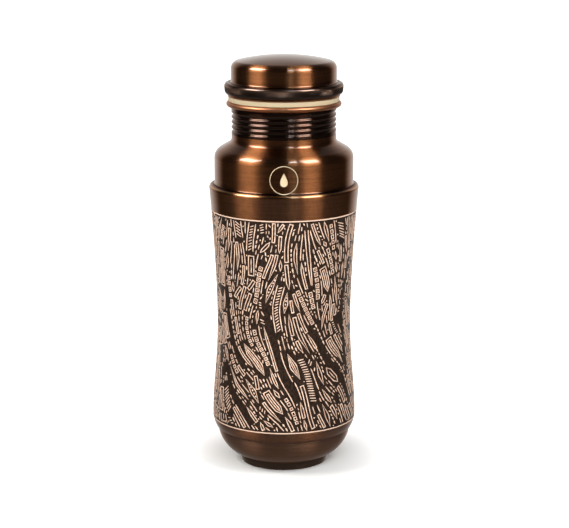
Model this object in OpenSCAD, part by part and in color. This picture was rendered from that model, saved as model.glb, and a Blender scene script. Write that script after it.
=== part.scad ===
// Screw-top drinking bottle of spun copper sheet: a waisted, etched barrel closed by a spun
// shoulder above and a spun cup below, with a screw lid that seals on a bright mouth ring.
// Millimetres, +Z up, origin at the centre of the foot on the surface that the bottle stands on.

/* [Sheet] */
// Thickness of the spun copper sheet
sheet = 0.7; // [0.6:0.05:0.9]
// Solder film between two lapped sheets
film = 0.03; // [0.02:0.01:0.06]

/* [Barrel] */
// Diameter over the collar at the barrel's upper edge, the widest place
collar_d = 76; // [74:0.5:80]
// Diameter at the waist
waist_d = 68.4; // [66:0.2:71]
// Diameter at the heel
heel_d = 73.5; // [72:0.5:77]
// Height of the barrel's lower edge
barrel_bottom = 18.8; // [18:0.2:19.6]
// Height where the heel stands vertical
heel_z = 25.3; // [24:0.1:27]
// Height of the waist
waist_z = 77; // [70:1:85]
// Height where the collar starts to round over
collar_z = 143.85; // [142:0.05:146]
// Radius of the rounded upper edge
collar_round = 1.5; // [1:0.1:2]
// Radius of the heel
heel_round = 12.5; // [10:0.5:15]

/* [Etched band] */
// Lower edge of the etched ground
etch_bottom = 24.4; // [22:0.1:30]
// Upper edge of the etched ground
etch_top = 132.2; // [120:0.1:136]
// Depth of the etched ground
etch_depth = 0.1; // [0.05:0.01:0.2]

/* [Shoulder and neck] */
// Diameter of the cylinder above the collar
shoulder_d = 70.5; // [69:0.5:71.5]
// Height where the shoulder starts to curve in
shoulder_z = 158.8; // [155:0.2:160]
// Radius of the shoulder
shoulder_round = 6; // [5:0.25:7]
// Angle from level at which the shoulder's cone leaves its curve
cone_lean = 60; // [50:1:65]
// Outside diameter of the neck
neck_d = 53; // [52.8:0.1:53.2]
// Radius of the hollow between cone and neck
neck_fillet = 2.5; // [2:0.1:3]
// Height of the neck's upper edge
neck_top = 187.2; // [187:0.05:187.3]

/* [Thread] */
// Pitch of the single right-handed thread
pitch = 2.6; // [2.4:0.05:2.8]
// Depth of the rolled thread
thread_depth = 0.65; // [0.5:0.05:0.7]
// Lowest place of the groove rolled into the neck
thread_bottom = 172.7; // [172:0.1:174]
// Turns of the groove rolled into the neck
neck_turns = 4.1; // [3:0.1:4.3]
// Turns of the ridge rolled on the plug
plug_turns = 3.4; // [2.5:0.1:3.6]
// Radial clearance between the two threads
thread_gap = 0.2; // [0.15:0.01:0.25]
// Flat steps in one turn of thread
thread_steps = 60; // [36:6:90]

/* [Mouth and base] */
// Outside diameter of the half-round ring at the mouth
mouth_d = 58; // [57:0.1:59]
// Radius of the mouth ring's section
mouth_round = 1.3; // [1.1:0.05:1.4]
// Height of the base cup's flat floor above the surface
floor_z = 2.6; // [2:0.1:3]
// Outside diameter of the base cup's wall
cup_d = 68.6; // [68.4:0.1:68.6]
// Radius of the base cup
cup_round = 18; // [16:0.5:19]
// Height of the base cup's upper edge, inside the barrel
cup_top = 25.2; // [24:0.1:27]
// Diameter of the foot ring where it stands
foot_d = 44.4; // [42:0.2:46]

/* [Lid] */
// Diameter of the cap's wall
cap_d = 53.3; // [52:0.1:54]
// Height where the cap's wall starts to curve in
cap_wall_top = 203.95; // [202:0.05:206]
// Radius of the cap's rounded edge
cap_round = 3.8; // [3:0.1:5]
// Height of the cap's crown, which is the bottle's full height
crown_z = 210.4; // [209.5:0.1:211]
// Diameter of the knurled ring
ring_d = 60; // [59:0.2:62]
// Height of the knurled ring's underside
ring_bottom = 191.35; // [191.35:0.05:191.6]
// Height of the knurled ring's upper face
ring_top = 196.95; // [196.5:0.05:197.5]
// Diameter of the plug's folded flange
flange_d = 56.8; // [56:0.1:57.4]
// Height of the flange's underside
flange_bottom = 190.15; // [190.15:0.05:190.3]
// Height of the plug's floor
plug_bottom = 171.9; // [171.5:0.1:172.5]
// Diameter of the sealing washer
gasket_d = 56; // [55:0.1:57]
// Running gap above and below the sealing washer
gasket_gap = 0.1; // [0.05:0.01:0.2]

/* [Hidden] */
$fn = 96;

antique = "#5b3826";
bare_copper = "#c07a50";
filler = "#b9b4a6";
silicone = "#dccca6";
dark_ring = "#2c2320";

collar_r = collar_d / 2;
waist_r = waist_d / 2;
heel_r = heel_d / 2;
shoulder_r = shoulder_d / 2;
neck_r = neck_d / 2;
mouth_r = mouth_d / 2;
cup_r = cup_d / 2;
cap_r = cap_d / 2;
ring_r = ring_d / 2;
seam_fillet = 1.2;                                   // hollow where the shoulder meets the collar
cap_fillet = 0.9;                                    // hollow where the cap meets its ring
skirt_r = collar_r - collar_round - film;            // shoulder's skirt inside the barrel
skirt_bottom = 136;                                  // the skirt reaches down inside the barrel
neck_bore_r = neck_r - sheet;
crest_land = 0.7;                                    // width of a thread's flat top or bottom
flank = 0.8;                                         // extra width at a thread's root
first_depth = 0.15;                                  // share of the depth where a thread begins
plug_core_r = neck_bore_r - thread_depth - thread_gap - 0.05;
plug_crest_r = neck_bore_r - thread_gap;
plug_start = 75;                                     // angle where the plug's ridge begins
mouth_top = neck_top + 0.25;                         // the mouth ring stands above the neck's edge
foot_r = foot_d / 2;
foot_top = 4.6;                                      // inside the base cup, which is cut from the ring
foot_wide = 1;                                       // how far the ring flares outwards to its top
foot_thick = 1.25;
overlap = 0.2;                                       // how far joined shapes run into each other
curve_steps = 12;

// Points on an arc about c, from angle a0 to angle a1.
function arc(c, r, a0, a1, n = curve_steps) =
    [for (i = [0:n]) let (a = a0 + (a1 - a0) * i / n) c + r * [cos(a), sin(a)]];

// Unit normal on the left of a path at its point i.
function left_normal(path, i) =
    let (d = path[min(i + 1, len(path) - 1)] - path[max(i - 1, 0)])
    [-d[1], d[0]] / norm(d);

// The path moved to its left by t, listed backwards so that it closes the outline.
function inner_face(path, t) =
    [for (i = [len(path) - 1:-1:0])
        let (p = path[i] + t * left_normal(path, i)) [max(p[0], 0), p[1]]];

// A sheet spun to an outline: the outline is its outer face, read upwards.
module spun_sheet(path, t = sheet) {
    rotate_extrude() polygon(concat(path, inner_face(path, t)));
}

// All the space inside an outline that starts on the axis.
module filled(path) {
    rotate_extrude() polygon(concat(path, [[0, path[len(path) - 1][1]]]));
}

// Barrel's outer radius at height z, from the heel up to the collar.
function flare(u) = pow(sin(90 * pow(u, 1.2)), 2);
function barrel_r(z) =
    z < heel_z ? heel_r - heel_round + sqrt(heel_round ^ 2 - (heel_z - z) ^ 2)
    : z < waist_z ? waist_r + (heel_r - waist_r) * flare((waist_z - z) / (waist_z - heel_z))
    : waist_r + (collar_r - waist_r) * pow((z - waist_z) / (collar_z - waist_z), 1.6);
function barrel_side(z0, z1, n) =
    [for (i = [0:n]) let (z = z0 + (z1 - z0) * i / n) [barrel_r(z), z]];

heel_start = -asin((heel_z - barrel_bottom) / heel_round);
barrel_outline = concat(
    arc([heel_r - heel_round, heel_z], heel_round, heel_start, 0, 8),
    barrel_side(heel_z + 3, collar_z - 3, 40),
    arc([collar_r - collar_round, collar_z], collar_round, 0, 90, 8)
);

cup_centre = [cup_r - cup_round, floor_z + cup_round];
cup_outline = concat(
    [[0, floor_z]],
    arc(cup_centre, cup_round, -90, 0, 20),
    [[cup_r, cup_top]]
);

cone_out = [cos(cone_lean), sin(cone_lean)];         // outward normal of the shoulder's cone
shoulder_centre = [shoulder_r - shoulder_round, shoulder_z];
cone_start = shoulder_centre + shoulder_round * cone_out;
cone_end_r = neck_r + neck_fillet * (1 - cone_out[0]);
cone_end_z = cone_start[1] + (cone_start[0] - cone_end_r) * cone_out[0] / cone_out[1];
fillet_centre = [neck_r + neck_fillet, cone_end_z + neck_fillet * cone_out[1]];
seam_z = collar_z + collar_round + film;
shoulder_outline = concat(
    [[shoulder_r, seam_z + seam_fillet / 2]],
    arc(shoulder_centre, shoulder_round, 0, cone_lean, 8),
    arc(fillet_centre, neck_fillet, 180 + cone_lean, 180, 6),
    [[neck_r, neck_top]]
);
skirt_outline = concat(
    [[skirt_r, skirt_bottom], [skirt_r, seam_z]],
    arc([skirt_r, seam_z + seam_fillet], seam_fillet, -90, -180, 6)
);

// How deep a thread is at its step i, as a share of full depth. It comes to full depth over the
// first and last eighth of a turn, as a rolled thread does.
function runout(i, last) =
    min(1, first_depth + (1 - first_depth) * min(i, last - i) / (thread_steps / 8));

// A solid that winds up a right-handed helix of n turns about the axis. It passes height z0 at
// angle 0 and begins at angle start, half a step past a round figure, so that none of its corners
// meets the seam of a turned face. section lists [radius, axial offset], and the points beyond
// r_skin follow the run-out.
module helix(section, r_skin, outside, z0, n, start = 180 / thread_steps) {
    last = round(n * thread_steps);
    m = len(section);
    function depth(r, s) = (outside ? r < r_skin : r > r_skin) ? r : r_skin + (r - r_skin) * s;
    points = [
        for (i = [0:last], q = section)
            let (a = start + 360 * i / thread_steps, r = depth(q[0], runout(i, last)))
            [r * cos(a), r * sin(a), z0 + pitch * a / 360 + q[1]]
    ];
    sides = [
        for (i = [0:last - 1], j = [0:m - 1])
            let (a = i * m + j, b = i * m + (j + 1) % m)
            each [[a, b, a + m], [b, b + m, a + m]]
    ];
    ends = [
        for (j = [1:m - 2]) each [[0, j + 1, j], [last * m, last * m + j, last * m + j + 1]]
    ];
    polyhedron(points, concat(sides, ends));
}

// Section of a thread with its wide side at r_root and its flat top at r_top.
function thread_section(r_root, r_top, side) =
    let (w = crest_land / 2, v = w + flank / 2)
    side > 0 ? [[r_root, -v], [r_top, -w], [r_top, w], [r_root, v]]
             : [[r_root, v], [r_top, w], [r_top, -w], [r_root, -v]];

module barrel() color(antique) difference() {
    spun_sheet(barrel_outline);
    rotate_extrude() polygon(concat(
        [for (p = barrel_side(etch_bottom, etch_top, 40)) p - [etch_depth, 0]],
        [[collar_r + 1, etch_top], [collar_r + 1, etch_bottom]]
    ));
}

module shoulder() color(antique) {
    groove_bottom_r = neck_r - thread_depth;
    difference() {
        union() {
            spun_sheet(shoulder_outline);
            rotate_extrude() polygon(concat(
                skirt_outline,
                [[shoulder_r - sheet, seam_z + seam_fillet], [skirt_r - sheet, seam_z - sheet]],
                [[skirt_r - sheet, skirt_bottom]]
            ));
            helix(thread_section(neck_bore_r + overlap, neck_bore_r - thread_depth, -1),
                neck_bore_r, false, thread_bottom, neck_turns);
        }
        helix(thread_section(neck_r + overlap, groove_bottom_r, -1),
            neck_r, false, thread_bottom, neck_turns);
    }
}

module mouth_ring() color(bare_copper) {
    difference() {
        rotate_extrude() translate([mouth_r - mouth_round, mouth_top - mouth_round])
            circle(r = mouth_round, $fn = 48);
        translate([0, 0, mouth_top - 3 * mouth_round]) cylinder(r = neck_r, h = 4 * mouth_round);
    }
}

// Silver braze in the pocket under the barrel's rolled upper edge.
module shoulder_braze() color(filler) {
    lip = [collar_r - collar_round, collar_z];
    bottom = collar_z - 1.4;
    rotate_extrude() polygon(concat(
        [[skirt_r + film, bottom], [barrel_r(bottom) - sheet - film, bottom]],
        arc(lip, collar_round - sheet - film, 0, 90, 6)
    ));
}

module base_cup() color(antique) spun_sheet(cup_outline);

// Silver braze in the pocket above the barrel's rolled lower edge.
module base_braze() color(filler) {
    heel_centre = [heel_r - heel_round, heel_z];
    inside_round = heel_round - sheet;
    low = heel_start + 3;
    high = heel_start + 16;
    rotate_extrude() polygon(concat(
        arc(heel_centre, inside_round - film, low, high, 5),
        [[cup_r + film, heel_z + inside_round * sin(high)]],
        [[cup_r + film, heel_z + inside_round * sin(low)]]
    ));
}

// The foot ring's lower corners are broken by edge, and it flares out to meet the cup.
module foot_ring() color(antique) {
    edge = 0.25;
    difference() {
        rotate_extrude() polygon([
            [foot_r - foot_thick + edge, 0], [foot_r - edge, 0], [foot_r, edge],
            [foot_r + foot_wide - 0.05, foot_top - 1.2], [foot_r + foot_wide, foot_top],
            [foot_r - foot_thick + 0.15, foot_top], [foot_r - foot_thick, edge]
        ]);
        filled(cup_outline);
    }
}

// Soft solder run round the inside of the foot ring.
module foot_solder() color(filler) {
    inside_r = foot_r - foot_thick + 0.05;
    leg = 1.6;                                       // how far the fillet spreads on each face
    difference() {
        rotate_extrude() polygon([
            [inside_r - leg, floor_z + 0.6], [inside_r, floor_z - leg / 2], [inside_r, foot_top - 0.8]
        ]);
        filled(cup_outline);
    }
}

module lid_cap() color(antique) {
    edge_r = cap_r - cap_round;
    // the crown is a shallow dome that leaves the rounded edge without a kink
    rise = crown_z - cap_wall_top - cap_round;
    dome_r = (edge_r ^ 2 - cap_round ^ 2 + (rise + cap_round) ^ 2) / (2 * rise);
    lean = asin(edge_r / (dome_r - cap_round));
    spun_sheet(concat(
        [[cap_r, ring_bottom], [cap_r, ring_top]],
        arc([edge_r, cap_wall_top], cap_round, 0, 90 - lean, 10),
        arc([0, crown_z - dome_r], dome_r, 90 - lean * 0.9, 90, 10)
    ));
    rotate_extrude() polygon(concat(
        [[cap_r - overlap, ring_top], [cap_r + cap_fillet, ring_top]],
        arc([cap_r + cap_fillet, ring_top + cap_fillet], cap_fillet, -90, -180, 6),
        [[cap_r - overlap, ring_top + cap_fillet]]
    ));
}

// The grip's knurl stands on the band between the bead and the lower chamfer.
module knurled_ring() color(dark_ring) {
    bead = 1.7;
    rotate_extrude() polygon(concat(
        [[cap_r, ring_bottom], [ring_r - 1, ring_bottom], [ring_r - 0.6, ring_bottom + 0.25]],
        [[ring_r - 0.2, ring_bottom + 1.3], [ring_r - 0.1, ring_top - bead - 0.9]],
        [[ring_r - 0.25, ring_top - bead - 0.7]],
        arc([ring_r - bead, ring_top - bead], bead, -10, 90, 8),
        [[cap_r + cap_fillet + 0.1, ring_top], [cap_r + cap_fillet + 0.1, ring_top - 0.2]],
        [[cap_r, ring_top - 0.2]]
    ));
}

module lid_plug() color(bare_copper) {
    corner = 2;
    corner_centre = [plug_core_r - corner, plug_bottom + corner];
    flange_r = flange_d / 2;
    rim = 0.3;
    rotate_extrude() polygon(concat(
        [[0, plug_bottom]],
        arc(corner_centre, corner, -90, 0, 6),
        [[plug_core_r, flange_bottom], [flange_r - rim, flange_bottom]],
        [[flange_r, flange_bottom + rim], [flange_r, ring_bottom - rim]],
        [[flange_r - rim, ring_bottom], [plug_core_r - sheet, ring_bottom]],
        arc(corner_centre, corner - sheet, 0, -90, 6),
        [[0, plug_bottom + sheet]]
    ));
    // the plug's ridge runs midway between two turns of the neck's groove
    helix(thread_section(plug_core_r - overlap, plug_crest_r, 1),
        plug_core_r, true, thread_bottom + pitch / 2, plug_turns, plug_start);
}

// Soft solder that joins the cap to the plug's flange, inside the sealed lid.
module lid_solder() color(filler) {
    bore_r = cap_r - sheet;
    leg = 1.5;
    rotate_extrude() polygon([
        [bore_r, ring_bottom], [bore_r, ring_bottom + leg], [bore_r - leg, ring_bottom]
    ]);
}

module gasket() color(silicone) {
    bottom = mouth_top + gasket_gap;
    top = flange_bottom - gasket_gap;
    outer_r = gasket_d / 2;
    inner_r = plug_crest_r - 0.3;                    // stretched over the ridge and held by it
    edge = 0.3;
    rotate_extrude() polygon([
        [inner_r, bottom], [outer_r - edge, bottom], [outer_r, bottom + edge],
        [outer_r, top - edge], [outer_r - edge, top], [inner_r, top]
    ]);
}

barrel();
shoulder();
mouth_ring();
shoulder_braze();
base_cup();
base_braze();
foot_ring();
foot_solder();
lid_cap();
knurled_ring();
lid_plug();
lid_solder();
gasket();
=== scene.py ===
from math import acos, asin, atan2, ceil, cos, degrees, hypot, pi, radians, sin, sqrt, tau
from random import Random

import bpy
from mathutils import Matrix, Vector


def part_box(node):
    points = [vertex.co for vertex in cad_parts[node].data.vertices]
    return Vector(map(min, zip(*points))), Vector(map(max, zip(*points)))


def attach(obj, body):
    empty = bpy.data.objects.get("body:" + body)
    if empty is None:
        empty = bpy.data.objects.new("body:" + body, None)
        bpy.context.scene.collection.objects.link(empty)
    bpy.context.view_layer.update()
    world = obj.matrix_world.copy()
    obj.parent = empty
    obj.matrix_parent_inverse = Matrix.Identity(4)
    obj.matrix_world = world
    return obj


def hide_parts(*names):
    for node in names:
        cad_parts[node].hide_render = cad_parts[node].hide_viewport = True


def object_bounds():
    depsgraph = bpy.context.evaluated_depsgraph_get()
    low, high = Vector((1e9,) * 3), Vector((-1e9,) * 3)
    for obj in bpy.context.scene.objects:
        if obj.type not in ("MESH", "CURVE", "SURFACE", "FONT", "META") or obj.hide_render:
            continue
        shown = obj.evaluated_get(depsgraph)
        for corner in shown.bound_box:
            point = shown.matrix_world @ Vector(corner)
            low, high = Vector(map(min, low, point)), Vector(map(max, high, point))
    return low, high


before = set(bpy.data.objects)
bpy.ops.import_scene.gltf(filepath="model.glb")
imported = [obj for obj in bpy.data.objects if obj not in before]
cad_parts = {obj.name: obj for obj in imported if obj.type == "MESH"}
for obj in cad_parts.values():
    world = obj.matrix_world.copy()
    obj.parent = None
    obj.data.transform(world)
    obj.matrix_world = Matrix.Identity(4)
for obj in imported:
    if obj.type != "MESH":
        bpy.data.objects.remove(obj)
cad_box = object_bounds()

mm = 0.001

# ---- Camera, floor and light -------------------------------------------------------------------
# A pale floor, a white backdrop behind, two softboxes at the front left and right, a small window
# lamp near the middle and a soft fill. The copper mirrors a dark room in front between the lamps.
camera = bpy.data.objects.new("camera", bpy.data.cameras.new("camera"))
camera.data.sensor_width = 36
camera.data.lens = 122.7
camera.location = (0.3 * mm, -970 * mm, 315.5 * mm)
camera.rotation_euler = (radians(90 - 12.34), 0, 0)
bpy.context.collection.objects.link(camera)
bpy.context.scene.camera = camera
bpy.context.scene.view_settings.view_transform = "Standard"


class Wire:
    """A socket of a node tree. Python's operators add Math nodes, and node() adds any other."""

    def __init__(self, tree, socket=None):
        self.tree = tree
        self.socket = socket

    def node(self, kind, sockets=None, out=0, stops=None, **settings):
        made = self.tree.nodes.new(kind)
        for name, value in settings.items():
            setattr(made, name, value)
        if stops:
            ramp = made.color_ramp
            while len(ramp.elements) < len(stops):
                ramp.elements.new(1)
            for element, (place, colour) in zip(ramp.elements, stops):
                element.position = place
                element.color = (*colour, 1)
        for name, value in (sockets or {}).items():
            if isinstance(value, Wire):
                self.tree.links.new(value.socket, made.inputs[name])
            else:
                made.inputs[name].default_value = value
        return Wire(self.tree, made.outputs[out]) if len(made.outputs) else None

    def outs(self, count):
        """The first few outputs of the node that this wire comes from."""
        return [Wire(self.tree, self.socket.node.outputs[i]) for i in range(count)]

    def math(self, operation, a, b=0.0):
        return self.node("ShaderNodeMath", {0: a, 1: b}, operation=operation)

    def __add__(self, other):
        return self.math("ADD", self, other)

    def __sub__(self, other):
        return self.math("SUBTRACT", self, other)

    def __neg__(self):
        return self.math("MULTIPLY", self, -1.0)

    def __rsub__(self, other):
        return self.math("SUBTRACT", other, self)

    def __mul__(self, other):
        return self.math("MULTIPLY", self, other)

    def __truediv__(self, other):
        return self.math("DIVIDE", self, other)

    __radd__ = __add__
    __rmul__ = __mul__

    def power(self, other):
        return self.math("POWER", self, other)

    def ramp(self, low, high, to_low=0.0, to_high=1.0):
        """self taken from low..high to to_low..to_high along a smooth step."""
        return self.node("ShaderNodeMapRange", {0: self, 1: low, 2: high, 3: to_low, 4: to_high},
                         interpolation_type="SMOOTHSTEP")

    def bump_of(self, height):
        """1 where self is within height of 0, falling smoothly to 0."""
        return self.math("ABSOLUTE", self).ramp(0, height, 1, 0)

    def mix(self, a, b):
        """Colour a where self is 0, colour b where self is 1."""
        a, b = ((*c, 1) if isinstance(c, tuple) else c for c in (a, b))
        return self.node("ShaderNodeMix", {0: self, 6: a, 7: b}, out=2, data_type="RGBA")


def build_world():
    """White to the camera. To everything else: a white backdrop behind, a dark room in front."""
    world = bpy.data.worlds.new("studio")
    world.use_nodes = True
    bpy.context.scene.world = world
    tree = world.node_tree
    tree.nodes.clear()
    start = Wire(tree)
    ray = start.node("ShaderNodeLightPath")
    where = start.node("ShaderNodeTexCoord", out="Generated")
    x, y, z = where.node("ShaderNodeSeparateXYZ", {0: where}).outs(3)
    level = (x * x + y * y).power(0.5)
    back = (y / (level + 0.001)).ramp(0.48, 0.88)
    backdrop = back * z.ramp(0.14, 0.72, 1, 0.16) * (-z).ramp(0.26, 0.55, 1, 0.12)
    table = (-z).ramp(0.24, 0.5) * (-z).ramp(0.6, 0.92, 0.30, 0.22)
    strength = 0.025 + 0.9 * backdrop + table * (1 - backdrop)
    shade = start.node("ShaderNodeBackground", {0: (1, 0.99, 0.97, 1), 1: strength})
    white = start.node("ShaderNodeBackground", {0: (1, 1, 1, 1), 1: 1.0})
    both = start.node("ShaderNodeMixShader", {0: ray, 1: shade, 2: white})
    start.node("ShaderNodeOutputWorld", {0: both})


build_world()


def lamp(name, azimuth, elevation, size, power, colour=(1, 1, 1), distance=1.0, mirrored=True):
    """A rectangular softbox that faces the bottle's middle. Azimuth 0 is the front, 90 its right."""
    a, e = radians(azimuth), radians(elevation)
    middle = Vector((0, 0, cad_box[1][2] * 0.6))
    data = bpy.data.lights.new(name, "AREA")
    data.shape = "RECTANGLE"
    data.size, data.size_y = size
    data.energy = power
    data.color = colour
    made = bpy.data.objects.new(name, data)
    towards = Vector((sin(a) * cos(e), -cos(a) * cos(e), sin(e)))
    made.location = middle + towards * distance
    made.rotation_euler = towards.to_track_quat("Z", "Y").to_euler()
    made.visible_camera = False
    made.visible_glossy = mirrored
    bpy.context.collection.objects.link(made)


lamp("softbox_left", -71, 43, (0.50, 0.44), 11.5)
lamp("softbox_right", 52, 43, (0.42, 0.44), 9.3)
lamp("window", 18, 46, (0.17, 0.10), 2.0, (0.66, 0.83, 1.0))
lamp("fill", 0, 20, (0.9, 0.6), 16, mirrored=False)


def new_material(name):
    material = bpy.data.materials.new(name)
    material.use_nodes = True
    return material, material.node_tree.nodes["Principled BSDF"], Wire(material.node_tree)


def feed(shader, socket, value):
    """Sets a shader's socket to a number or colour, or links a wire to it."""
    if isinstance(value, Wire):
        value.tree.links.new(value.socket, shader.inputs[socket])
    else:
        shader.inputs[socket].default_value = (*value, 1) if isinstance(value, tuple) else value


def build_floor():
    """A large pale sheet that the bottle stands on; the copper mirrors the room and not the sheet.
    It glows from within away from the bottle, so that only the shadow at the foot shows; the glow
    fades out towards the foot, and so paints shade all round it as well."""
    reach = 8.0
    corners = [(-reach, -reach, 0), (reach, -reach, 0), (reach, reach, 0), (-reach, reach, 0)]
    mesh = bpy.data.meshes.new("floor")
    mesh.from_pydata(corners, [], [(0, 1, 2, 3)])
    sheet = bpy.data.objects.new("floor", mesh)
    bpy.context.collection.objects.link(sheet)
    sheet.visible_glossy = False
    paper, shader, wire = new_material("floor_paper")
    where = wire.node("ShaderNodeTexCoord", out="Object")
    far = wire.node("ShaderNodeVectorMath", {0: where}, out="Value", operation="LENGTH")
    near_glow, far_glow = 0.75, 0.45
    # Painted shade: no glow within 22 mm of the axis, fading in out to 78 mm, darkens the floor round
    # the foot.
    glow = far.ramp(0.022, 0.078, 0.0, near_glow) + far.ramp(0.10, 0.5, 0.0, far_glow)
    feed(shader, "Base Color", (0.52, 0.505, 0.485))
    feed(shader, "Roughness", 0.9)
    feed(shader, "Emission Color", (glow / (near_glow + far_glow)).mix((0, 0, 0), (1, 1, 1)))
    feed(shader, "Emission Strength", near_glow + far_glow)
    mesh.materials.append(paper)


build_floor()

# ---- Antique copper ----------------------------------------------------------------------------
# The bottle's skin: copper sheet coloured dark brown, brushed round the axis on the lathe so that
# the copper shows through in fine streaks, then coated with clear lacquer.


def place_on_bottle(wire):
    """The point's x, y, z and its distance from the axis, in metres in the bottle's own frame."""
    where = wire.node("ShaderNodeTexCoord", out="Object")
    x, y, z = where.node("ShaderNodeSeparateXYZ", {0: where}).outs(3)
    return x, y, z, (x * x + y * y).power(0.5)


def lathe_streaks(wire, along, across, detail=3.0, rough=0.6):
    """Noise drawn out round the axis: along and across are the streaks' rates per metre."""
    x, y, z, r = place_on_bottle(wire)
    point = wire.node("ShaderNodeCombineXYZ", {0: x * along, 1: y * along, 2: z * across})
    return wire.node("ShaderNodeTexNoise",
                     {"Vector": point, "W": r * across, "Scale": 1.0, "Detail": detail,
                      "Roughness": rough},
                     noise_dimensions="4D")


# Colours for worn edges with a painted highlight, for corners with patina and painted shade, and for
# worn crests with a painted glint.
worn_and_highlight_tone, patina_and_shade_tone, worn_and_glint_crest = (0.92, 0.47, 0.20), (0.006, 0.004, 0.003), (0.60, 0.36, 0.24)


def antique_copper(name, deep=(0.070, 0.025, 0.011), warm=(0.44, 0.165, 0.058), worn=0.55,
                   worn_and_highlight_at=(), patina_and_shade_at=(), coat=0.9, grain=1.0, dull=0.29, crests=None):
    """worn_and_highlight_at and patina_and_shade_at list the height and half width of edges rubbed
    bright with a painted highlight, and of corners darkened by patina and painted shade. crests are two
    radii, between which the copper goes from coloured to rubbed bright with a painted glint."""
    material, shader, wire = new_material(name)
    fine = lathe_streaks(wire, 60, 9000)
    broad = lathe_streaks(wire, 18, 900, 2)
    x, y, z, r = place_on_bottle(wire)
    cloud = wire.node("ShaderNodeTexNoise", {"Scale": 45.0, "Detail": 4.0})
    show = (fine.ramp(0.30, 0.75) * 0.55 + broad.ramp(0.3, 0.7) * 0.25 + cloud.ramp(0.3, 0.7) * 0.2)
    tone = (show * worn + (1 - worn) * 0.5).mix(deep, warm)
    open_to_lacquer = 1.0
    # The listed edges go paler: wear, and a painted highlight.
    for height, half in worn_and_highlight_at:
        tone = ((z - height).bump_of(half) * (0.5 + 0.5 * cloud)).mix(tone, worn_and_highlight_tone)
    # The listed corners go near black: patina, and painted shade. The lacquer thins there too.
    for height, half in patina_and_shade_at:
        patina_and_shade_mask = (z - height).bump_of(half)
        tone = patina_and_shade_mask.mix(tone, patina_and_shade_tone)
        open_to_lacquer = open_to_lacquer * (1.0 - 0.9 * patina_and_shade_mask)
    # The crests go paler: wear, and a painted glint.
    if crests:
        tone = r.ramp(*crests).mix(tone, worn_and_glint_crest)
    feed(shader, "Base Color", tone)
    feed(shader, "Metallic", 1.0)
    feed(shader, "Roughness", dull + 0.07 * fine)
    feed(shader, "Specular Tint", (0.55, 0.42, 0.34))
    feed(shader, "Anisotropic", grain)
    feed(shader, "Anisotropic Rotation", 0.25)
    feed(shader, "Coat Weight", coat * open_to_lacquer)
    feed(shader, "Coat Roughness", 0.09)
    feed(shader, "Normal", wire.node("ShaderNodeBump",
         {"Strength": 0.10, "Distance": 0.02 * mm, "Height": fine}))
    return material


# The collar's rounded edge is worn pale with a painted highlight; the seam above it gets patina and
# painted shade.
skin = antique_copper("antique_copper", worn_and_highlight_at=[(144.9 * mm, 0.55 * mm)],
                      patina_and_shade_at=[(145.65 * mm, 0.65 * mm)])

# ---- Barrel ------------------------------------------------------------------------------------
# The waisted body, one tube of copper sheet spun over a form and rolled in at both ends.
# Its side is etched away by a tenth of a millimetre round the drawing, and left dark and matt there.
sheet_t = 0.7 * mm
barrel_low, barrel_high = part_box("barrel")
collar_r = barrel_high[0]
collar_round = 1.5 * mm
collar_z = barrel_high[2] - collar_round
waist_r, waist_z = 34.2 * mm, 77 * mm
heel_r, heel_z, heel_round = 36.75 * mm, 25.3 * mm, 12.5 * mm
etch_bottom, etch_top, etch_depth = 24.4 * mm, 132.2 * mm, 0.1 * mm
etch_edge = 0.05 * mm


def arc(centre, radius, start, end, steps=10):
    """Points on an arc in the plane of radius and height, angles in degrees."""
    angles = [radians(start + (end - start) * i / steps) for i in range(steps + 1)]
    return [(centre[0] + radius * cos(a), centre[1] + radius * sin(a)) for a in angles]


def inner_face(outline, thick):
    """The outline moved inwards by the sheet's thickness and read backwards."""
    moved = []
    for i, (r, z) in enumerate(outline):
        before = outline[max(i - 1, 0)]
        after = outline[min(i + 1, len(outline) - 1)]
        dr, dz = after[0] - before[0], after[1] - before[1]
        length = hypot(dr, dz)
        moved.append((max(r - thick * dz / length, 0.0), z + thick * dr / length))
    return moved[::-1]


def spun_mesh(name, outline, around=192, closed=True, relief=None, sharp=40):
    """Turns an outline of (radius, height) points about the axis into a mesh. closed joins its last
    point to its first. relief(angle, radius, height, row) is added to the radius."""
    points, rings = [], []
    for row, (r, z) in enumerate(outline):
        if r < 1e-7:
            rings.append([len(points)] * around)
            points.append((0, 0, z))
            continue
        rings.append([len(points) + k for k in range(around)])
        for k in range(around):
            angle = tau * k / around
            out = r + (relief(angle, r, z, row) if relief else 0)
            points.append((out * cos(angle), out * sin(angle), z))
    faces = []
    pairs = list(zip(rings, rings[1:])) + ([(rings[-1], rings[0])] if closed else [])
    for lower, upper in pairs:
        for k in range(around):
            n = (k + 1) % around
            corners = [lower[k], lower[n], upper[n], upper[k]]
            face = [c for i, c in enumerate(corners) if c != corners[i - 1]]
            if len(face) > 2:
                faces.append(face)
    return solid(name, points, faces, sharp)


def solid(name, points, faces, sharp=40):
    """A smooth-shaded mesh object in the frame, with creases where faces meet at over sharp degrees."""
    mesh = bpy.data.meshes.new(name)
    mesh.from_pydata(points, [], faces)
    mesh.validate()
    mesh.shade_smooth()
    mesh.set_sharp_from_angle(angle=radians(sharp))
    made = bpy.data.objects.new(name, mesh)
    bpy.context.collection.objects.link(made)
    return made


def fit(piece, body, material, slot, *nodes):
    """Gives a piece its finish and its body, and hides the CAD nodes that it stands for."""
    piece.data.materials.clear()
    piece.data.materials.append(material)
    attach(piece, body)
    if nodes:
        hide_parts(*nodes)


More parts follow.
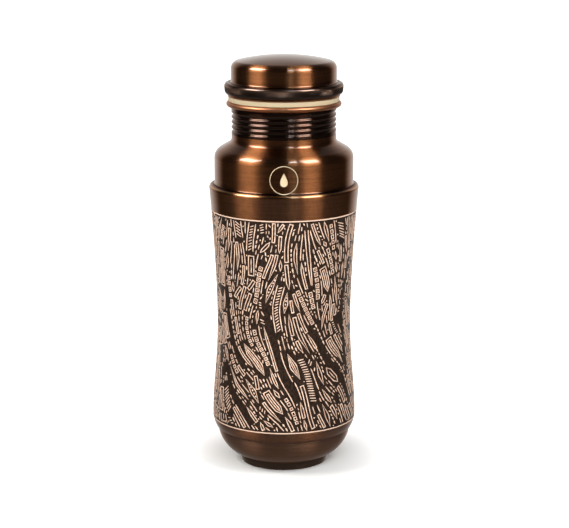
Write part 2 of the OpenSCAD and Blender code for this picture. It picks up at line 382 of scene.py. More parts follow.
def barrel_r(z):
    """Outer radius of the barrel at height z, from its lower edge up to the collar."""
    if z < heel_z:
        return heel_r - heel_round + sqrt(heel_round ** 2 - (heel_z - z) ** 2)
    if z < waist_z:
        down = (waist_z - z) / (waist_z - heel_z)
        return waist_r + (heel_r - waist_r) * sin(pi / 2 * down ** 1.2) ** 2
    up = (z - waist_z) / (collar_z - waist_z)
    return waist_r + (collar_r - waist_r) * up ** 1.6


def barrel_side(low, high, steps, sunk=0.0):
    heights = [low + (high - low) * i / steps for i in range(steps + 1)]
    return [(barrel_r(z) - sunk, z) for z in heights]


def bare_copper(name, tone=(0.80, 0.36, 0.20), dull=0.35, grain=0.5):
    """Copper with no colouring on it, only the lathe's marks and a little tarnish."""
    material, shader, wire = new_material(name)
    fine = lathe_streaks(wire, 40, 7000)
    cloud = wire.node("ShaderNodeTexNoise", {"Scale": 60.0, "Detail": 5.0})
    darker = tuple(c * 0.62 for c in tone)
    show = fine.ramp(0.3, 0.7) * 0.5 + cloud.ramp(0.35, 0.7) * 0.5
    feed(shader, "Base Color", show.mix(darker, tone))
    feed(shader, "Metallic", 1.0)
    feed(shader, "Roughness", dull - 0.08 + 0.16 * cloud)
    feed(shader, "Anisotropic", grain)
    feed(shader, "Anisotropic Rotation", 0.25)
    feed(shader, "Normal", wire.node("ShaderNodeBump",
         {"Strength": 0.12, "Distance": 0.02 * mm, "Height": fine}))
    return material


def etched_ground(name):
    """The bitten ground between the lines: oxidised nearly black, matt, with a sandy grain."""
    material, shader, wire = new_material(name)
    grain = wire.node("ShaderNodeTexNoise", {"Scale": 4200.0, "Detail": 2.0})
    cloud = wire.node("ShaderNodeTexNoise", {"Scale": 90.0, "Detail": 4.0})
    show = grain.ramp(0.3, 0.7) * 0.4 + cloud.ramp(0.3, 0.7) * 0.6
    feed(shader, "Base Color", show.mix((0.007, 0.0045, 0.0035), (0.045, 0.026, 0.017)))
    feed(shader, "Metallic", 0.6)
    feed(shader, "Roughness", 0.44 + 0.15 * grain)
    feed(shader, "Specular Tint", (0.42, 0.32, 0.26))
    feed(shader, "Coat Weight", 0.3)
    feed(shader, "Coat Roughness", 0.15)
    feed(shader, "Normal", wire.node("ShaderNodeBump",
         {"Strength": 0.35, "Distance": 0.03 * mm, "Height": grain}))
    return material


def paint(piece, material, test):
    """Gives material to the faces for which test(radius, height) is true."""
    piece.data.materials.append(material)
    index = len(piece.data.materials) - 1
    for face in piece.data.polygons:
        if test(hypot(face.center.x, face.center.y), face.center.z):
            face.material_index = index


inside_copper = bare_copper("inside_copper", (0.62, 0.26, 0.13))
ground = etched_ground("etched_ground")
barrel_outline = (
    barrel_side(barrel_low[2], etch_bottom - etch_edge, 16)
    + barrel_side(etch_bottom, etch_top, 120, etch_depth)
    + barrel_side(etch_top + etch_edge, collar_z - 0.3 * mm, 20)
    + arc((collar_r - collar_round, collar_z), collar_round, 0, 90, 12)
)
barrel = spun_mesh("barrel_skin", barrel_outline + inner_face(barrel_outline, sheet_t), 256)
fit(barrel, "bottle", skin, "antique_copper", "barrel")
paint(barrel, ground,
      lambda r, z: etch_bottom < z < etch_top and r > barrel_r(z) - 2 * etch_depth)
paint(barrel, inside_copper,
      lambda r, z: z < collar_z and r < barrel_r(z) - 3 * etch_depth)

# ---- Etched drawing ----------------------------------------------------------------------------
# A dense drawing of leaves, ladders, chains and blades that flows round the whole barrel. The
# lines are what the acid left standing, rubbed back to pale bright copper.
line_w = 0.45 * mm
lane_margin = 0.45 * mm                      # ground left clear along each side of a motif
unroll_r = 36 * mm
girth = tau * unroll_r
draw_low, draw_high = etch_bottom + 0.5 * mm, etch_top - 0.5 * mm
front_angle = -pi / 2
chance = Random(20)


class Etching:
    """Strokes on the unrolled barrel: x runs round it from the front, z up it, both in metres."""
    cell = 0.2 * mm

    def __init__(self):
        self.columns = round(girth / self.cell)
        self.rows = round((draw_high - draw_low) / self.cell)
        self.taken = [bytearray(self.columns) for _ in range(self.rows)]
        self.strokes = []

    def lean(self, x, z):
        """Which way the drawing flows at a point, as an angle from straight up."""
        turn = tau * x / girth
        h = (z - draw_low) / (draw_high - draw_low)
        low = min(max((0.62 - h) / 0.25, 0), 1)
        upright = -0.30 * sin(turn) + 0.20 * sin(turn * 5 - 6 * h + 1.0)
        upright += 0.16 * sin(turn * 11 + 13 * h)
        slanting = -0.62 * cos(turn) + 0.26 * sin(turn * 4 + 4 * h) + 0.14 * sin(turn * 9 - 10 * h)
        return upright * (1 - low) + slanting * low

    def is_taken(self, x, z):
        row = int((z - draw_low) / self.cell)
        if row < 0 or row >= self.rows or z < draw_low:
            return True
        return self.taken[row][int(x / self.cell) % self.columns]

    def is_free(self, x, z, lean, half):
        """Whether the ground is untouched across a lane that leans so, half wide to each side."""
        nx, nz = cos(lean), -sin(lean)
        for v in (0, -half, half, -half / 2, half / 2):
            if self.is_taken(x + nx * v, z + nz * v):
                return False
        return True

    def take(self, lane, half):
        """Marks the ground within half of a lane as used."""
        reach = ceil(half / self.cell)
        disc = [(i, j) for i in range(-reach, reach + 1) for j in range(-reach, reach + 1)
                if hypot(i, j) * self.cell <= half]
        for x, z in lane:
            row, column = int((z - draw_low) / self.cell), int(x / self.cell)
            for i, j in disc:
                if 0 <= row + j < self.rows:
                    self.taken[row + j][(column + i) % self.columns] = 1

    def trace(self, x, z, half, longest, aside=0.0):
        """The longest free lane through a point that follows the flow, of a given half width."""
        step = self.cell
        if not self.is_free(x, z, self.lean(x, z) + aside, half):
            return []
        lane, length = [(x, z)], 0
        for way in (1, -1):
            px, pz = x, z
            side = []
            while length < longest:
                lean = self.lean(px, pz) + aside
                px += sin(lean) * step * way
                pz += cos(lean) * step * way
                if not self.is_free(px, pz, self.lean(px, pz) + aside, half):
                    break
                side.append((px, pz))
                length += step
            lane = side[::-1] + lane if way < 0 else lane + side
            # A lane that is full length one way may still grow by half of it the other way.
            if way > 0 and length >= longest:
                length *= 0.5
        return lane

    def stroke(self, lane, points, closed=False):
        """Adds a stroke. Each point is (distance along the lane, distance aside, width)."""
        placed = []
        for along, aside, width in points:
            i = min(max(along / self.cell, 0), len(lane) - 1.001)
            n = int(i)
            (ax, az), (bx, bz) = lane[n], lane[min(n + 1, len(lane) - 1)]
            lean = atan2(bx - ax, bz - az)
            f = i - n
            beyond = along - min(max(along, 0), (len(lane) - 1) * self.cell)
            placed.append((ax + (bx - ax) * f + cos(lean) * aside + sin(lean) * beyond,
                           az + (bz - az) * f - sin(lean) * aside + cos(lean) * beyond, width))
        self.strokes.append((placed, closed))


def along_points(start, end, aside, width=line_w, step=1.1 * mm, tips=0.55):
    """A stroke along a lane, its width falling at both tips. aside is a number or a function."""
    count = max(2, ceil((end - start) / step))
    points = []
    for i in range(count + 1):
        t = i / count
        wobble = 1 + 0.10 * sin(9.1 * t + start * 5000)
        wide = width * (tips if i in (0, count) else wobble)
        shake = chance.uniform(-0.06, 0.06) * mm
        off = aside(t) if callable(aside) else aside
        points.append((start + (end - start) * t, off + shake, wide))
    return points


def loop_points(start, end, half, point_low, point_high, width=line_w):
    """A closed loop along a lane with straight sides, each end cut square or drawn to a point.
    point_low and point_high are how far the sides take to close, 0 for a square end."""
    places = [start, start + point_low]
    count = max(1, round((end - start - point_low - point_high) / (1.5 * mm)))
    places += [start + point_low + (end - start - point_low - point_high) * i / count
               for i in range(1, count + 1)]
    places.append(end)
    reach = [0 if point_low else half] + [half] * (count + 1) + [0 if point_high else half]
    left = [(t, -a, width * chance.uniform(0.85, 1.1)) for t, a in zip(places, reach)]
    right = [(t, a, width * chance.uniform(0.85, 1.1)) for t, a in zip(places, reach)][::-1]
    loop = left + right
    steps = [hypot(p[0] - q[0], p[1] - q[1]) for p, q in zip(loop, loop[-1:] + loop)]
    return [p for p, step in zip(loop, steps) if step > 0.02 * mm]


# Each draw function fills one lane with a motif. length and half are the lane's length and half width.
def draw_line(etching, lane, length, half):
    etching.stroke(lane, along_points(0, length, 0))


def draw_dashes(etching, lane, length, half):
    at = 0
    while at < length - 0.7 * mm:
        long = min(chance.uniform(1.3, 3.2) * mm, length - at)
        etching.stroke(lane, along_points(at, at + long, 0))
        at += long + chance.uniform(0.75, 1.1) * mm


def draw_drops(etching, lane, length, half):
    fat = min(2 * half - 0.5 * mm, 1.5 * mm)
    at = 0
    while at < length - 0.9 * mm:
        long = chance.uniform(1.4, 2.6) * mm
        etching.stroke(lane, [(at, 0, 0.25 * mm), (at + long * 0.3, 0, fat * 0.7),
                              (at + long * 0.65, 0, fat), (at + long, 0, fat * 0.45)])
        at += long + 0.75 * mm


def draw_ladder(etching, lane, length, half):
    slant = chance.choice((-0.7, -0.3, 0.2, 0.6))
    reach = half - lane_margin
    framed = reach > 1.5 * mm and chance.random() < 0.4
    if framed:
        etching.stroke(lane, along_points(0, length, -reach))
        etching.stroke(lane, along_points(0, length, reach))
        reach -= 0.95 * mm
    at = reach * abs(slant) + 0.4 * mm
    while at < length - reach * abs(slant):
        etching.stroke(lane, [(at + reach * slant * side, reach * side, line_w * wide)
                              for side, wide in ((-1, 0.7), (-0.5, 1), (0.5, 1), (1, 0.7))])
        at += chance.uniform(1.15, 1.4) * mm * sqrt(1 + slant * slant)


def draw_chain(etching, lane, length, half):
    side = 2 * half - 1.0 * mm
    at = 0.3 * mm
    while at < length - side:
        long = side * chance.uniform(0.85, 1.5)
        a, b, s = at, at + long, side / 2
        corners = [(a, -s), (a, s), (b, s), (b, -s)]
        etching.stroke(lane, [(t, v, line_w * 0.85) for t, v in corners], closed=True)
        if s > 0.75 * mm:
            etching.stroke(lane, [((a + b) / 2 - 0.25 * mm, 0, 0.35 * mm), ((a + b) / 2, 0, 0.6 * mm),
                                  ((a + b) / 2 + 0.25 * mm, 0, 0.35 * mm)])
        at += long + chance.choice((0.95, 0.95, 1.3)) * mm


def draw_slat(etching, lane, length, half):
    reach = half - lane_margin
    ends = [chance.choice((0, 0, 0.25, 0.45)) * length for _ in range(2)]
    etching.stroke(lane, loop_points(0, length, reach, *ends), closed=True)
    inner = reach - 1.2 * mm
    if inner > 0.4 * mm and length > 7 * mm:
        inset = 1.4 * mm
        loop = loop_points(inset, length - inset, inner, *(e * 0.7 for e in ends))
        etching.stroke(lane, loop, closed=True)
    elif reach > 1.0 * mm and length > 5 * mm:
        start, end = ends[0] * 0.6 + 1.3 * mm, length - ends[1] * 0.6 - 1.3 * mm
        etching.stroke(lane, along_points(start, end, 0, line_w * 0.85))


def draw_leaf(etching, lane, length, half):
    reach = half - lane_margin
    etching.stroke(lane, loop_points(0, length, reach, length * 0.4, length * 0.5), closed=True)
    at = length * 0.22
    while at < length * 0.78 and reach > 1.1 * mm:
        etching.stroke(lane, [(at, 0, 0.3 * mm), (at + 0.45 * mm, 0, 0.75 * mm),
                              (at + 0.95 * mm, 0, 0.3 * mm)])
        at += 1.75 * mm


def draw_blade(etching, lane, length, half):
    """Two long sweeping lines that meet at one end, with the ground dark between them."""
    reach, tip = half - 0.4 * mm, 0.28 * mm
    for way in (-1, 1):
        def edge(t):
            return way * (tip + (reach - tip) * sin(pi / 2 * min(1, 1.6 * t)))
        etching.stroke(lane, along_points(0, length, edge))


def draw_ribbon(etching, lane, length, half):
    """A plain dark ribbon: nothing is drawn on it."""


def etch_drawing():
    """Fills the drawing from the widest motifs to the narrowest, each in what room is left."""
    etching = Etching()
    channels = [
        # distance round from the front, height, half width, length (mm) of the broad dark channels
        (-1, 56, 1.3, 34),
        (34, 50, 1.3, 34),
        (25, 63, 1.9, 9),
        (-24, 37, 1.2, 22),
        (-30, 68, 1.1, 28),
    ]
    for round_it, height, half, length in channels:
        lane = etching.trace(round_it * mm % girth, height * mm, half * mm, length * mm)
        etching.take(lane, half * mm)
    kinds = [
        # draw, tries, half width, shortest, longest (mm), turned aside from the flow (radians)
        (draw_ribbon, 5, (0.7, 1.0), 12, 40, 0.3),
        (draw_blade, 20, (1.0, 1.5), 14, 36, 0),
        (draw_ladder, 30, (1.9, 2.9), 7, 18, 0.05),
        (draw_leaf, 16, (1.3, 1.8), 6, 11, 0.15),
        (draw_ribbon, 12, (0.9, 1.5), 2, 5, 0.3),
        (draw_chain, 60, (1.1, 1.4), 6, 18, 0),
        (draw_slat, 50, (1.9, 2.3), 8, 18, 0),
        (draw_slat, 700, (1.0, 1.3), 5, 16, 0),
        (draw_slat, 260, (1.0, 1.25), 4, 9, 0.45),
        (draw_ladder, 160, (1.0, 1.5), 3, 8, -0.2),
        (draw_leaf, 120, (1.0, 1.3), 3, 6, -0.1),
    ]
    for draw, tries, halves, shortest, longest, aside in kinds:
        for _ in range(tries):
            half = chance.uniform(*halves) * mm
            x, z = chance.uniform(0, girth), chance.uniform(draw_low, draw_high)
            lane = etching.trace(x, z, half, chance.uniform(shortest, longest) * mm, aside)
            length = (len(lane) - 1) * etching.cell
            if length >= shortest * mm:
                draw(etching, lane, length, half)
                etching.take(lane, half)
    # Single lines and rows of dashes and drops, each of which starts others close beside it.
    half = 0.62 * mm
    seeds = [(chance.uniform(0, girth), chance.uniform(draw_low, draw_high)) for _ in range(9000)]
    while seeds:
        x, z = seeds.pop()
        lane = etching.trace(x, z, half, chance.choice((4, 7, 12, 20)) * mm)
        length = (len(lane) - 1) * etching.cell
        if length < 1.2 * mm:
            continue
        plain = chance.random() < 0.6 or length < 4 * mm
        draw = draw_line if plain else chance.choice((draw_dashes, draw_drops))
        draw(etching, lane, length, half)
        etching.take(lane, half + 0.05 * mm)
        for at in range(4, len(lane), 30):
            px, pz = lane[at]
            lean = etching.lean(px, pz)
            for way in (-1, 1):
                aside = way * (2 * half + 0.12 * mm)
                seeds.append((px + cos(lean) * aside, pz - sin(lean) * aside))
    # Small flecks in what gaps are left.
    for _ in range(16000):
        x, z = chance.uniform(0, girth), chance.uniform(draw_low, draw_high)
        longest = chance.uniform(0.6, 2.2) * mm
        lane = etching.trace(x, z, 0.46 * mm, longest, chance.choice((0, 0, 0.5, -0.6)))
        length = (len(lane) - 1) * etching.cell
        if length > 0.35 * mm:
            etching.stroke(lane, [(0, 0, 0.3 * mm), (length / 2, 0, 0.62 * mm), (length, 0, 0.3 * mm)])
            etching.take(lane, 0.5 * mm)
    return etching.strokes


def ribbon_mesh(name, strokes, place, high, deep):
    """Raised lines with a flat top and bevelled sides. place(x, z, out) gives the point at height
    out off the surface."""
    section = ((-0.5, deep), (-0.5, high * 0.3), (-0.28, high),
               (0.28, high), (0.5, high * 0.3), (0.5, deep))
    corners = len(section)
    points, faces = [], []
    for stroke, closed in strokes:
        count = len(stroke)
        first = len(points)
        for i in range(count):
            x, z, width = stroke[i]
            before = stroke[i - 1] if i or closed else stroke[i]
            after = stroke[(i + 1) % count] if i < count - 1 or closed else stroke[i]
            ax, az = x - before[0], z - before[1]
            bx, bz = after[0] - x, after[1] - z
            la, lb = hypot(ax, az) or 1, hypot(bx, bz) or 1
            tx, tz = ax / la + bx / lb, az / la + bz / lb
            length = hypot(tx, tz) or 1
            mitre = min(1.5, (2 if ax or az else 1) / length if (ax or az) and (bx or bz) else 1.0)
            nx, nz = tz / length * width * mitre, -tx / length * width * mitre
            for side, out in section:
                points.append(place(x + nx * side, z + nz * side, out))
        last = count if closed else count - 1
        for i in range(last):
            a, b = first + i * corners, first + (i + 1) % count * corners
            for k in range(corners - 1):
                faces.append((a + k, a + k + 1, b + k + 1, b + k))
        if not closed:
            faces.append([first + k for k in range(corners)][::-1])
            faces.append([first + (count - 1) * corners + k for k in range(corners)])
    return solid(name, points, faces, 80)


def on_barrel(x, z, out):
    r = barrel_r(z) + out
    angle = front_angle + x / unroll_r
    return (r * cos(angle), r * sin(angle), z)


def line_copper(name):
    """The standing lines: bare copper rubbed back with a block, so matt, pale and a little uneven."""
    material, shader, wire = new_material(name)
    rub = wire.node("ShaderNodeTexNoise", {"Scale": 900.0, "Detail": 3.0})
    cloud = wire.node("ShaderNodeTexNoise", {"Scale": 70.0, "Detail": 3.0})
    show = rub.ramp(0.3, 0.7) * 0.5 + cloud.ramp(0.35, 0.65) * 0.5
    feed(shader, "Base Color", show.mix((0.36, 0.19, 0.125), (0.80, 0.62, 0.48)))
    feed(shader, "Metallic", 0.35)
    feed(shader, "Roughness", 0.42 + 0.16 * rub)
    feed(shader, "Specular Tint", (0.42, 0.28, 0.21))
    feed(shader, "Normal", wire.node("ShaderNodeBump",
         {"Strength": 0.2, "Distance": 0.02 * mm, "Height": rub}))
    return material


pale_copper = line_copper("pale_copper")
drawing = ribbon_mesh("etched_drawing", etch_drawing(), on_barrel, 0.01 * mm, -1.3 * etch_depth)
fit(drawing, "bottle", pale_copper, "antique_copper")

border_half, border_high = 0.29 * mm, 0.05 * mm
for name, z in (("border_top", etch_top + 0.3 * mm), ("border_bottom", etch_bottom - 0.35 * mm)):
    edge = [(barrel_r(z + v * border_half) + out * border_high, z + v * border_half)
            for v, out in ((-1, -1), (-1, 0.5), (-0.6, 1), (0.6, 1), (1, 0.5), (1, -1))]
    fit(spun_mesh(name, edge, 256), "bottle", pale_copper, "antique_copper")

# ---- Base cup ----------------------------------------------------------------------------------
# The bottom is a shallow bowl spun from one disc. Its wall is pushed up inside the barrel's heel.
base_low, base_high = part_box("base_cup")
base_r, base_round = base_high[0], 18 * mm
cup_half = 0.4 * mm                          # just over half of the sheet's thickness
base_outline = (
    [(r, base_low[2]) for r in (0, 6 * mm, 12 * mm)]
    + arc((base_r - base_round, base_low[2] + base_round), base_round, -90, 0, 40)
    + [(base_r, base_high[2])]
)
base = spun_mesh("base_cup_skin", base_outline + inner_face(base_outline, sheet_t), 256, False)


def is_in_cup(r, z):
    """Whether a point of the cup is on its inner face, more than half the sheet's way in."""
    out, down = max(r - base_r + base_round, 0), min(z - base_low[2] - base_round, 0)
    return z > base_low[2] + cup_half and hypot(out, down) < base_round - cup_half


cup_skin = antique_copper("cup_copper", (0.075, 0.036, 0.022), (0.40, 0.19, 0.10), 0.45, coat=0.5)
fit(base, "bottle", cup_skin, "antique_copper", "base_cup")
paint(base, inside_copper, is_in_cup)

# ---- Foot ring ---------------------------------------------------------------------------------
# A plain ring of copper bar soldered under the bowl, coloured very dark. The bottle rests on it.
foot_low, foot_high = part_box("foot_ring")
foot_r, foot_in, foot_edge = foot_high[0], 21 * mm, 0.3 * mm
tread_r = 22.15 * mm
cup_under = base_low[2] + base_round - sqrt(base_round ** 2 - (foot_r - base_r + base_round) ** 2)
foot_top = cup_under + 0.1 * mm
foot_outline = (
    arc((foot_in + foot_edge, foot_edge), foot_edge, 180, 270, 4)
    + arc((tread_r - foot_edge, foot_edge), foot_edge, -90, -10, 4)
    + [(22.5 * mm, 1.3 * mm), (22.9 * mm, 2.6 * mm), (foot_r - 0.05 * mm, 3.4 * mm),
       (foot_r, foot_top), (foot_in + 0.1 * mm, foot_top), (foot_in, 2.0 * mm)]
)
foot = spun_mesh("foot_ring_skin", foot_outline, 192)
foot_skin = antique_copper("foot_copper", (0.03, 0.018, 0.012), (0.17, 0.09, 0.055), 0.4, coat=0.4)
fit(foot, "bottle", foot_skin, "blackened_copper", "foot_ring")

# ---- Shoulder and neck -------------------------------------------------------------------------
# One spinning: a drum, a rounded shoulder and a neck with a thread rolled into the sheet. Its
# lower end is a skirt that sits inside the barrel's collar and is brazed to it.
neck_r = 26.5 * mm
drum_r = 35.25 * mm
seam_r, seam_round = 36.47 * mm, 1.2 * mm
seam_z = 145.38 * mm
drum_top, drum_round = 158.8 * mm, 6 * mm
neck_fillet, neck_z = 2.5 * mm, 168.76 * mm
neck_top = 187.2 * mm
skirt_z = 136 * mm
drum_low = seam_z + seam_round
pitch, thread_deep = 2.6 * mm, 0.65 * mm
thread_z, thread_low = 171.8 * mm, 170.4 * mm


def helix_relief(angle, z, foot_z, start, turns, flat, flank):
    """0 to 1 across a thread that passes foot_z at angle 0 and climbs one pitch a turn. It begins
    start turns on and is so many turns long. flat is its crest's width, flank each side's."""
    height = (z - foot_z) / pitch - angle / tau
    turn = round(height)
    far = abs(height - turn) * pitch
    run = angle / tau + turn - start
    fade = min(max(min(run, turns - run) * 8 + 0.5, 0), 1)
    rise = min(max((flat / 2 + flank - far) / flank, 0), 1)
    return fade * rise * rise * (3 - 2 * rise)


def neck_relief(angle, r, z, row):
    return -thread_deep * helix_relief(angle, z, thread_z, start=0.01, turns=4.1,
                                       flat=0.5 * mm, flank=0.9 * mm)


def rows(r, low, high, step):
    """Points straight up a wall, a step apart."""
    count = ceil((high - low) / step)
    return [(r, low + (high - low) * i / count) for i in range(count + 1)]


shoulder_outline = (
    [(seam_r, skirt_z)]
    + arc((seam_r, drum_low), seam_round, 270, 180, 8)
    + [(drum_r, drum_low + 1 * mm)]
    + arc((drum_r - drum_round, drum_top), drum_round, 0, 60, 14)
    + arc((neck_r + neck_fillet, neck_z), neck_fillet, 240, 180, 8)
    + rows(neck_r, thread_low, neck_top - 0.4 * mm, 0.2 * mm)
    + [(neck_r, neck_top)]
)
shoulder = spun_mesh("shoulder_skin", shoulder_outline + inner_face(shoulder_outline, sheet_t), 256,
                     relief=neck_relief)


def is_in_shoulder(r, z):
    """Whether a point is on the inner face of the neck or of the drum's straight side."""
    in_neck = r < neck_r - sheet_t / 2 - (thread_deep if z > thread_low else 0)
    in_drum = r < drum_r - sheet_t / 2 and drum_low + 0.9 * mm < z < drum_top - 0.8 * mm
    return in_neck or in_drum


thread_skin = antique_copper("thread_copper", (0.028, 0.013, 0.008), (0.13, 0.060, 0.034),
                             coat=0.6, dull=0.2)
fit(shoulder, "bottle", skin, "antique_copper", "shoulder")
paint(shoulder, thread_skin, lambda r, z: z > thread_low + 0.7 * mm and r < neck_r + 0.1 * mm)
paint(shoulder, inside_copper, is_in_shoulder)

# ---- Mark on the shoulder ----------------------------------------------------------------------
# A small mark printed in pale gold on the drum: a drop of water in a thin ring.
mark_z, mark_r = 152.7 * mm, 6.9 * mm
drop_high, drop_fills = 6 * mm, 5


def on_drum(x, z, out):
    """A point on the drum's front, or on the fillet at its foot."""
    low = max(drum_low - mark_z - z, 0)
    r = seam_r - sqrt(max(seam_round ** 2 - low ** 2, 0)) if low > 0 else drum_r
    r = max(r, drum_r) + out
    angle = front_angle + x / drum_r
    return (r * cos(angle), r * sin(angle), mark_z + z)


def ring_stroke(radius, width, steps=72):
    return ([(radius * cos(tau * i / steps), radius * sin(tau * i / steps), width)
             for i in range(steps)], True)


def drop_stroke(height, width, steps=40):
    """The outline of a drop: round below and drawn to a point on top."""
    points = []
    for i in range(steps):
        t = tau * i / steps
        points.append((height * 0.36 * sin(t) * sin(t / 2) ** 1.4, height * 0.5 * cos(t), width))
    return points, True


mark_strokes = [ring_stroke(mark_r, 0.32 * mm)]
mark_strokes += [drop_stroke(drop_high * (k + 1) / drop_fills, 0.62 * mm) for k in range(drop_fills)]
mark = ribbon_mesh("printed_mark", mark_strokes, on_drum, 0.04 * mm, -0.05 * mm)


def print_gold(name):
    """Screen-printed metallic ink, worn a little thin."""
    material, shader, wire = new_material(name)
    wear = wire.node("ShaderNodeTexNoise", {"Scale": 1500.0, "Detail": 3.0})
    feed(shader, "Base Color", wear.ramp(0.35, 0.62).mix((0.30, 0.20, 0.10), (0.50, 0.41, 0.28)))
    feed(shader, "Metallic", 0.25)
    feed(shader, "Roughness", 0.40 + 0.2 * wear)
    return material


fit(mark, "bottle", print_gold("printed_gold"), "antique_copper")

# ---- Mouth ring --------------------------------------------------------------------------------
# A bright copper bead shrunk on the top of the neck. The gasket closes on it.
mouth_low, mouth_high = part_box("mouth_ring")
bead = 1.3 * mm
bead_r, bead_z = mouth_high[0] - bead, mouth_high[2] - bead
bite = degrees(acos((neck_r - bead_r) / bead))
mouth = spun_mesh("mouth_ring_skin", arc((bead_r, bead_z), bead, -bite, bite, 28), 256)
bright = bare_copper("bright_copper", (0.56, 0.23, 0.11), 0.42, 0.2)
fit(mouth, "bottle", bright, "bare_copper", "mouth_ring")

# ---- Gasket ------------------------------------------------------------------------------------
# A flat washer of cream silicone that stays under the plug's flange.
gasket_low, gasket_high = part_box("gasket")
gasket_in, gasket_edge = 25.3 * mm, 0.3 * mm
gasket_out = gasket_high[0]
corners = [(gasket_out, gasket_low[2], -90), (gasket_out, gasket_high[2], 0),
           (gasket_in, gasket_high[2], 90), (gasket_in, gasket_low[2], 180)]
gasket_outline = []
for r, z, start in corners:
    centre_r = r - gasket_edge if r == gasket_out else r + gasket_edge
    centre_z = z - gasket_edge if z == gasket_high[2] else z + gasket_edge
    gasket_outline += arc((centre_r, centre_z), gasket_edge, start, start + 90, 5)
gasket = spun_mesh("gasket_skin", gasket_outline, 192)


def silicone(name):
    """Cream silicone rubber with a little dust on it."""
    material, shader, wire = new_material(name)
    cloud = wire.node("ShaderNodeTexNoise", {"Scale": 120.0, "Detail": 4.0})
    dust = wire.node("ShaderNodeTexNoise", {"Scale": 2600.0, "Detail": 2.0})
    show = cloud.ramp(0.3, 0.7) * 0.7 + dust * 0.3
    feed(shader, "Base Color", show.mix((0.22, 0.165, 0.10), (0.32, 0.255, 0.16)))
    feed(shader, "Roughness", 0.42 + 0.2 * dust)
    feed(shader, "Subsurface Weight", 0.25)
    feed(shader, "Subsurface Scale", 1.2 * mm)
    feed(shader, "Normal", wire.node("ShaderNodeBump",
         {"Strength": 0.15, "Distance": 0.03 * mm, "Height": dust}))
    return material


fit(gasket, "washer", silicone("cream_silicone"), "silicone", "gasket")

# ---- Screw plug --------------------------------------------------------------------------------
# The lid's lower half: a bright copper cup with the mating thread rolled outwards and a flange.
plug_low, plug_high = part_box("lid_plug")
core_r, plug_corner = 24.9 * mm, 2 * mm
flange_r, flange_low, rim = plug_high[0], 190.15 * mm, 0.3 * mm
plug_bottom, plug_top = plug_low[2], plug_high[2]
plug_wall = plug_bottom + plug_corner
plug_thread_z, plug_thread_high = 173.1 * mm, 0.7 * mm
plug_outline = (
    [(0, plug_bottom), (10 * mm, plug_bottom)]
    + arc((core_r - plug_corner, plug_wall), plug_corner, -90, 0, 8)
    + rows(core_r, plug_wall + 0.2 * mm, 184 * mm, 0.2 * mm)
    + [(core_r, flange_low)]
    + arc((flange_r - rim, flange_low + rim), rim, -90, 0, 4)
    + arc((flange_r - rim, plug_top - rim), rim, 0, 90, 4)
    + [(core_r - sheet_t, plug_top), (core_r - sheet_t, plug_wall)]
    + arc((core_r - plug_corner, plug_wall), plug_corner - sheet_t, 0, -90, 6)
    + [(0, plug_bottom + sheet_t)]
)


def plug_relief(angle, r, z, row):
    if r < core_r - 0.1 * mm or z > 186 * mm:
        return 0
    return plug_thread_high * helix_relief(angle, z, plug_thread_z, start=0.21, turns=3.4,
                                           flat=0.3 * mm, flank=0.6 * mm)


plug = spun_mesh("plug_skin", plug_outline, 256, False, relief=plug_relief)
fit(plug, "lid", bright, "bare_copper", "lid_plug")

# ---- Knurled ring ------------------------------------------------------------------------------
# A ring turned from bar with a rounded top edge and a diamond knurl, blackened, soldered round
# the cap so that the lid can be gripped.
ring_low, ring_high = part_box("knurled_ring")
ring_r = ring_high[0]
ring_in = 26.65 * mm
ring_seat_r, ring_seat = 27.65 * mm, 0.2 * mm
knurls, knurl_deep = 152, 0.26 * mm
rows_to_a_diamond, knurl_step = 4, 0.29 * mm
ring_edge = (
    [(29.4 * mm, 191.6 * mm), (29.8 * mm, 192.65 * mm), (29.9 * mm, 194.35 * mm)]
    + arc((28.3 * mm, 195.25 * mm), 1.7 * mm, -10, 90, 24)
)


def evenly(path, step):
    """Points at equal distances along a path."""
    lengths = [hypot(b[0] - a[0], b[1] - a[1]) for a, b in zip(path, path[1:])]
    count = round(sum(lengths) / step)
    result, i, past = [], 0, 0.0
    for k in range(count + 1):
        want = sum(lengths) * k / count
        while i < len(lengths) - 1 and past + lengths[i] < want:
            past += lengths[i]
            i += 1
        t = (want - past) / lengths[i]
        a, b = path[i], path[i + 1]
        result.append((a[0] + (b[0] - a[0]) * t, a[1] + (b[1] - a[1]) * t))
    return result


edge_rows = evenly(ring_edge, knurl_step)
ring_foot = [(ring_in, ring_low[2]), (28.9 * mm, ring_low[2])]
ring_outline = ring_foot + edge_rows + [
    (ring_seat_r, ring_high[2]),
    (ring_seat_r, ring_high[2] - ring_seat),
    (ring_in, ring_high[2] - ring_seat),
]
knurl_first = len(ring_foot) + 3
knurl_last = len(ring_foot) + max(i for i, (r, z) in enumerate(edge_rows) if z < 195.4 * mm)


def knurl_relief(angle, r, z, row):
    """Two sets of crossed grooves, pressed in between the first and the last knurled row."""
    if row < knurl_first or row > knurl_last:
        return 0
    round_it, up = angle / tau * knurls, (row - knurl_first) / rows_to_a_diamond
    grooves = [abs((v % 1) - 0.5) * 2 for v in (round_it + up, round_it - up)]
    return knurl_deep * (0.25 - max(grooves))


ring = spun_mesh("knurled_ring_skin", ring_outline, knurls * rows_to_a_diamond,
                 relief=knurl_relief, sharp=25)
# The knurl's outer crests are coloured paler: wear, and a painted glint.
ring_skin = antique_copper("ring_black", (0.010, 0.006, 0.005), (0.11, 0.06, 0.04), 0.5,
                           coat=0.5, grain=0.0, dull=0.20, crests=(29.8 * mm, 30.05 * mm))
fit(ring, "lid", ring_skin, "blackened_copper", "knurled_ring")

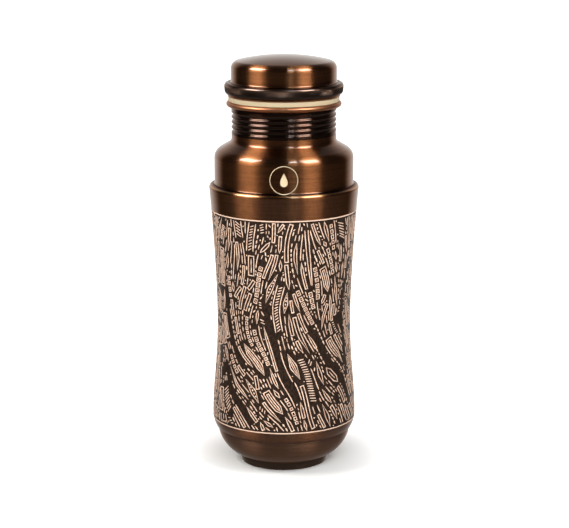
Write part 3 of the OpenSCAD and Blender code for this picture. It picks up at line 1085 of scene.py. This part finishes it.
# ---- Lid cap -----------------------------------------------------------------------------------
# The lid's outer cap, spun with a rounded edge and a slightly domed crown.
cap_low, cap_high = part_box("lid_cap")
cap_r, cap_edge = 26.65 * mm, 3.8 * mm
edge_r, edge_z = cap_r - cap_edge, 203.95 * mm
crown_rise = cap_high[2] - edge_z
dome_r = (edge_r ** 2 + crown_rise ** 2 - cap_edge ** 2) / (2 * (crown_rise - cap_edge))
dome_z = cap_high[2] - dome_r
dome_turn = degrees(asin(edge_r / (dome_r - cap_edge)))
cap_foot, foot_fillet = ring_high[2], 0.9 * mm
cap_outline = (
    [(cap_r, cap_low[2]), (cap_r, cap_foot - 0.3 * mm), (cap_r + foot_fillet, cap_foot - 0.05 * mm)]
    + arc((cap_r + foot_fillet, cap_foot + foot_fillet), foot_fillet, 270, 180, 8)
    + arc((edge_r, edge_z), cap_edge, 0, 90 - dome_turn, 16)
    + arc((0, dome_z), dome_r, 90 - dome_turn * 0.93, 90, 14)
)
cap_inside = (
    [(cap_r - sheet_t, z) for z in (cap_low[2], cap_foot, edge_z)]
    + arc((edge_r, edge_z), cap_edge - sheet_t, 10, 90 - dome_turn, 8)
    + [(0, cap_high[2] - sheet_t)]
)
cap = spun_mesh("lid_cap_skin", cap_outline + cap_inside[::-1], 256)
# Patina and painted shade in the crease where the cap's foot fillet meets the ring.
cap_skin = antique_copper("cap_copper", patina_and_shade_at=[(196.95 * mm, 0.35 * mm)])
fit(cap, "lid", cap_skin, "antique_copper", "lid_cap")
crown_skin = antique_copper("crown_copper", (0.085, 0.034, 0.017), (0.48, 0.20, 0.08),
                            coat=1.0, grain=0.2)
paint(cap, crown_skin, lambda r, z: z > edge_z + cap_edge * 0.97)


# ---- Solder and braze --------------------------------------------------------------------------
# The fillets of filler metal that hold the copper pieces together, mostly out of sight.
def filler(name, tone):
    """Filler metal that ran and set in small lumps."""
    material, shader, wire = new_material(name)
    lumps = wire.node("ShaderNodeTexNoise", {"Scale": 900.0, "Detail": 3.0})
    darker = tuple(c * 0.5 for c in tone)
    feed(shader, "Base Color", lumps.ramp(0.3, 0.7).mix(darker, tone))
    feed(shader, "Metallic", 1.0)
    feed(shader, "Roughness", 0.35 + 0.25 * lumps)
    feed(shader, "Normal", wire.node("ShaderNodeBump",
         {"Strength": 0.4, "Distance": 0.1 * mm, "Height": lumps}))
    return material


tin = filler("tin_solder", (0.50, 0.47, 0.44))
braze = filler("copper_braze", (0.62, 0.42, 0.22))
for node, metal in (("lid_solder", tin), ("foot_solder", tin),
                    ("shoulder_braze", braze), ("base_braze", braze)):
    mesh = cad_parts[node].data
    mesh.materials.clear()
    mesh.materials.append(metal)
